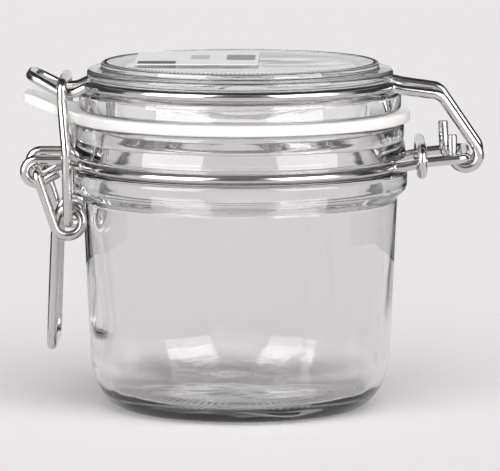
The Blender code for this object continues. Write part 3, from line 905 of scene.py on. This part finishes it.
def touching(centre, radius, place, side):
    """Angle at which a line from place touches a circle, on the chosen side."""
    across, up = place[0] - centre[0], place[1] - centre[1]
    spread = math.acos(radius / math.hypot(across, up))
    return math.degrees(math.atan2(up, across) + side * spread)


def at(place, y, bend=0.0):
    """Corner of the near half of a wire, from its (x, z) place and its distance y."""
    return (place[0], -y, place[1], bend)


def far_side(corners):
    """The same corners on the far side of the jar, in reverse order."""
    return [(x, -y, z, bend) for x, y, z, bend in reversed(corners)]


def wire(name, points, closed=False):
    """A round wire along the points, with its two cut ends a little rounded."""
    curve = bpy.data.curves.new(name, "CURVE")
    curve.dimensions = "3D"
    curve.bevel_depth = WIRE_RADIUS * MM
    curve.bevel_resolution = 6
    curve.use_fill_caps = True
    line, sizes = list(points), [1.0] * len(points)
    if not closed:
        for end, beside in ((0, 1), (-1, -2)):
            outward = (line[end] - line[beside]).normalized()
            places = [line[end] - outward * back for back, _ in WIRE_END]
            wides = [size for _, size in WIRE_END]
            if end:
                line[-1:], sizes[-1:] = places, wides
            else:
                line[:1], sizes[:1] = reversed(places), reversed(wides)
    spline = curve.splines.new("POLY")
    spline.points.add(len(line) - 1)
    for point, place, size in zip(spline.points, line, sizes):
        point.co = (*(place * MM), 1.0)
        point.radius = size
    spline.use_cyclic_u = closed
    spline.use_smooth = True
    return curve


def show_wire(name, points, body, node, closed=False):
    """Bends one wire, shows it and prints how much wire it takes."""
    show(name, wire(name, points, closed), wire_finish, body, node)
    length = sum((after - before).length for before, after in zip(points, points[1:]))
    print(name, "takes", round(length), "mm of wire")


print("wire gauge:", WIRE_RADIUS * 2.0, "mm")

# %% [markdown]
# ## Neck wire
# One wire lies in the groove under the mouth. On the clasp's side both its ends curl
# into eyes for the lever's pins, and on the hinge side it runs out into two arms with a
# cross pin. Only the near half is described. The far half is the same in reverse.

# %% Neck wire
NECK_RING_RADIUS = 46.4
NECK_RING_Z = 71.95
PIVOT = (-59.1, 70.5)
EYE_Y = 12.0
EYE_RADIUS = 3.4
EYE_END = (-52.6, 70.2)
EYE_ARM_END_X = -51.2
EYE_ARM_FOOT_X = -48.6
HINGE_ARM_Y = 14.4
HINGE_ARM_FOOT = (48.0, 72.3)
HINGE_ARM_BEND = (54.5, 73.7)
HINGE_PIN = (66.0, 74.9)


def neck_wire_line():
    """Eye, arm, half ring, hinge arm and cross pin, then the same again on the far side."""
    left, left_x = off_ring(NECK_RING_RADIUS, EYE_Y, 180.0, 1)
    right, right_x = off_ring(NECK_RING_RADIUS, HINGE_ARM_Y, 360.0, -1)
    touch = touching(PIVOT, EYE_RADIUS, EYE_END, -1)
    near = [at(EYE_END, EYE_Y)]
    near += eye(PIVOT, (EYE_RADIUS, EYE_RADIUS), (touch + 360.0, 90.0), (-EYE_Y, -EYE_Y))
    near += [
        at((EYE_ARM_END_X, PIVOT[1] + EYE_RADIUS), EYE_Y, SHARP_BEND),
        at((EYE_ARM_FOOT_X, NECK_RING_Z), EYE_Y, SHARP_BEND),
        at((left_x, NECK_RING_Z), EYE_Y, SHARP_BEND),
    ]
    near += in_groove(NECK_RING_RADIUS, NECK_RING_Z, left, right)
    near += [
        at((right_x, NECK_RING_Z), HINGE_ARM_Y, SHARP_BEND),
        at(HINGE_ARM_FOOT, HINGE_ARM_Y, EASY_BEND),
        at(HINGE_ARM_BEND, HINGE_ARM_Y, EASY_BEND),
        at(HINGE_PIN, HINGE_ARM_Y, SHARP_BEND),
    ]
    return bent(near + far_side(near))


show_wire("neck_wire_bent", neck_wire_line(), "jar", "neck_wire")

# %% [markdown]
# ## Lid wire
# The lid's own wire lies in the lid's groove. On the hinge side its ends wrap the cross
# pin in two hooks, each with a short tail that stands up, one tail a little longer. On
# the clasp's side it runs out into a nose that dips and rises to a rounded tip. The
# clasp's bar bears on that nose.

# %% Lid wire
LID_RING_RADIUS = 45.6
LID_RING_Z = 95.6
HOOK_CENTRE = (65.9, 75.55)
HOOK_Y = 11.0
HOOK_RADIUS = 3.9
HOOK_START = -180.0
NEAR_TAIL_TOP = (61.9, 81.5)
FAR_TAIL_TOP = (59.6, 83.3)
FAR_HOOK_START_RADIUS = 5.9
ELBOW = (58.5, 93.2)
ELBOW_Y = 12.6
LID_ARM_Y = 13.6
LID_ARM_FOOT = (47.2, 94.7)
NOSE_FOOT = (-47.9, 93.5)
NOSE_FOOT_Y = 12.6
NOSE_VALLEY = (-52.0, 93.3)
NOSE_VALLEY_Y = 10.8
NOSE_TIP = (-61.0, 98.1)
NOSE_TIP_Y = 8.6
NOSE_TIP_BEND = 4.6


def hook(start_radius):
    """Near hook, which wraps the hinge pin from the wire's tail to its arm."""
    touch = touching(HOOK_CENTRE, HOOK_RADIUS, ELBOW, -1)
    radii, angles = (start_radius, HOOK_RADIUS), (HOOK_START, touch)
    return eye(HOOK_CENTRE, radii, angles, (-HOOK_Y, -HOOK_Y))


def lid_wire_side():
    """Near side, from the elbow along arm and half ring to the nose."""
    left, left_x = off_ring(LID_RING_RADIUS, LID_ARM_Y, 180.0, 1)
    right, right_x = off_ring(LID_RING_RADIUS, LID_ARM_Y, 360.0, -1)
    arm = [
        at(ELBOW, ELBOW_Y, FIRM_BEND),
        at(LID_ARM_FOOT, LID_ARM_Y, EASY_BEND),
        at((right_x, LID_RING_Z), LID_ARM_Y, SHARP_BEND),
    ]
    nose = [
        at((left_x, LID_RING_Z), LID_ARM_Y, SHARP_BEND),
        at(NOSE_FOOT, NOSE_FOOT_Y, FIRM_BEND),
        at(NOSE_VALLEY, NOSE_VALLEY_Y, FIRM_BEND),
        at(NOSE_TIP, NOSE_TIP_Y, NOSE_TIP_BEND),
    ]
    return arm + in_groove(LID_RING_RADIUS, LID_RING_Z, right, left) + nose


def lid_wire_line():
    """Tail, hook, arm and half ring to the nose, then back along the far side."""
    near = [at(NEAR_TAIL_TOP, HOOK_Y)] + hook(HOOK_RADIUS) + lid_wire_side()
    far = [at(FAR_TAIL_TOP, HOOK_Y)] + hook(FAR_HOOK_START_RADIUS) + lid_wire_side()
    return bent(near + far_side(far))


show_wire("lid_wire_bent", lid_wire_line(), "lid", "lid_wire")

# %% [markdown]
# ## Lever and link
# The lever hangs from the neck wire's eyes by two short pins. Each of its legs makes one
# and a half turns round the link's foot, as a coil, and goes on down to a narrow handle.
# The link stands on those coils and reaches over the lid wire's nose with its bar. When
# the handle is pulled up, the coils swing out past the pivot and the bar comes free.

# %% Lever and link
COIL_CENTRE = (-49.75, 56.0)
COIL_START_RADIUS = 4.2
COIL_END_RADIUS = 3.7
COIL_END_ANGLE = 540.0
LEVER_LEG_Y = 15.2
HANDLE_Y = 12.1
HANDLE_END = (-54.9, 19.3)
HANDLE_END_Y = 14.6
HANDLE_BEND = 4.6
PIN_END_Y = 9.9
LINK_FOOT_Y = 18.3
LINK_TOP_Y = 15.0
LINK_WAIST = (-50.1, 77.0)
LINK_SHOULDER = (-51.5, 91.0)
LINK_BAR = (-51.5, 96.5)


def lever_line():
    """Pivot pin, leg, coil, handle leg and half of the handle's end, then the far side."""
    touch = touching(COIL_CENTRE, COIL_START_RADIUS, PIVOT, 1)
    near = [at(PIVOT, PIN_END_Y), at(PIVOT, LEVER_LEG_Y, SHARP_BEND)]
    radii = (COIL_START_RADIUS, COIL_END_RADIUS)
    near += eye(COIL_CENTRE, radii, (touch, COIL_END_ANGLE), (-LEVER_LEG_Y, -HANDLE_Y))
    near += [at(HANDLE_END, HANDLE_END_Y, HANDLE_BEND)]
    return bent(near + far_side(near))


def link_line():
    """Foot pin, leg and half of the bar over the nose, then the far side."""
    near = [
        at(COIL_CENTRE, PIN_END_Y),
        at(COIL_CENTRE, LINK_FOOT_Y, SHARP_BEND),
        at(LINK_WAIST, LINK_FOOT_Y, WIDE_BEND),
        at(LINK_SHOULDER, LINK_TOP_Y, WIDE_BEND),
        at(LINK_BAR, LINK_TOP_Y, SHARP_BEND),
    ]
    return bent(near + far_side(near))


show_wire("lever_bent", lever_line(), "lever", "clasp_lever")
show_wire("link_bent", link_line(), "link", "clasp_link")

# %% [markdown]
# ## Hoop on the hinge arms
# A small upright hoop is slipped over the two hinge arms and keeps them together. It is a
# closed wire with two straight sides and two half round ends, turned by a degree.

# %% Hoop
HOOP_X = 52.9
HOOP_Z = 73.95
HOOP_YAW = 1.0
HOOP_END_RADIUS = 3.75
HOOP_END_CENTRE_Y = 13.9
HOOP_END_STEPS = 24


def hoop_line():
    """An upright ring with straight top and bottom and half round ends."""
    points = []
    for side in (-1, 1):
        for step in range(HOOP_END_STEPS + 1):
            angle = math.pi * step / HOOP_END_STEPS
            y = side * (HOOP_END_CENTRE_Y + HOOP_END_RADIUS * math.sin(angle))
            z = HOOP_Z + side * HOOP_END_RADIUS * math.cos(angle)
            points.append(Vector((HOOP_X - y * math.tan(math.radians(HOOP_YAW)), y, z)))
    return points


show_wire("hoop_bent", hoop_line(), "jar", "hinge_hoop", closed=True)

# %% [markdown]
# ## Paper label
# A small paper label with three plain grey fields lies on the lid. The sheet is thin with
# rounded corners, and its colour comes from its place: a field is a box in the label's own
# plane, and where a point lies in the box, the paper takes the ink's colour.

# %% Paper label
LABEL_MIN = (-30.5, -17.0)
LABEL_MAX = (5.5, 24.4)
LABEL_BOTTOM_Z = 102.15
LABEL_THICKNESS = 0.25
LABEL_CORNER = 1.5
INK_FIELDS = (
    ((-29.6, -15.0), (-18.5, -6.5), 0.03),
    ((-14.5, -1.0), (-9.0, 12.0), 0.50),
    ((-4.0, -3.0), (4.4, 13.5), 0.26),
)


def in_span(tree, value, low, high):
    """1 where the value lies between low and high, else 0."""
    middle, half = (low + high) / 2.0 * MM, (high - low) / 2.0 * MM
    away = add_node(tree, "ShaderNodeMath", [(0, value)], operation="SUBTRACT")
    away.inputs[1].default_value = middle
    size = add_node(tree, "ShaderNodeMath", [(0, away.outputs[0])], operation="ABSOLUTE")
    inside = add_node(tree, "ShaderNodeMath", [(0, size.outputs[0])], operation="LESS_THAN")
    inside.inputs[1].default_value = half
    return inside.outputs[0]


def label_paper_finish():
    """White coated paper with a fine fibre and plain grey fields."""
    finish, tree, shader = new_finish("label paper")
    place = add_node(tree, "ShaderNodeTexCoord").outputs["Object"]
    parts = add_node(tree, "ShaderNodeSeparateXYZ", [("Vector", place)])
    fibre = noise(tree, place, 1500.0, 4.0)
    colour = ramp(tree, fibre, [(0.3, 0.90), (0.7, 0.84)])
    for low, high, ink in INK_FIELDS:
        across = in_span(tree, parts.outputs["X"], low[0], high[0])
        deep = in_span(tree, parts.outputs["Y"], low[1], high[1])
        both = add_node(tree, "ShaderNodeMath", [(0, across), (1, deep)], operation="MULTIPLY")
        mix = add_node(tree, "ShaderNodeMix", data_type="RGBA")
        tree.links.new(both.outputs[0], mix.inputs["Factor"])
        # Inputs 6 and 7 and output 2 are the mix node's colour sockets.
        tree.links.new(colour, mix.inputs[6])
        mix.inputs[7].default_value = (ink, ink, ink * 1.02, 1.0)
        colour = mix.outputs[2]
    tree.links.new(colour, shader.inputs["Base Color"])
    shader.inputs["Roughness"].default_value = 0.38
    tree.links.new(add_bump(tree, fibre, 0.00002, 0.4), shader.inputs["Normal"])
    return finish


def label_sheet_mesh():
    """A thin sheet with rounded corners."""
    corners = []
    for x_sign, y_sign, start in ((1, 1, 0.0), (-1, 1, 90.0), (-1, -1, 180.0), (1, -1, 270.0)):
        x = (LABEL_MAX[0] if x_sign > 0 else LABEL_MIN[0]) - x_sign * LABEL_CORNER
        y = (LABEL_MAX[1] if y_sign > 0 else LABEL_MIN[1]) - y_sign * LABEL_CORNER
        corners += arc((x, y), LABEL_CORNER, LABEL_CORNER, start, start + 90.0, 6)
    heights = (LABEL_BOTTOM_Z, LABEL_BOTTOM_Z + LABEL_THICKNESS)
    places = [(x * MM, y * MM, z * MM) for z in heights for x, y in corners]
    count = len(corners)
    faces = [tuple(reversed(range(count))), tuple(range(count, 2 * count))]
    for corner in range(count):
        beside = (corner + 1) % count
        faces.append((corner, beside, count + beside, count + corner))
    mesh = bpy.data.meshes.new("label_sheet")
    mesh.from_pydata(places, [], faces)
    return mesh


show("label_sheet", label_sheet_mesh(), label_paper_finish(), "lid", "lid_label")
print("label is", LABEL_MAX[0] - LABEL_MIN[0], "by", LABEL_MAX[1] - LABEL_MIN[1], "mm")
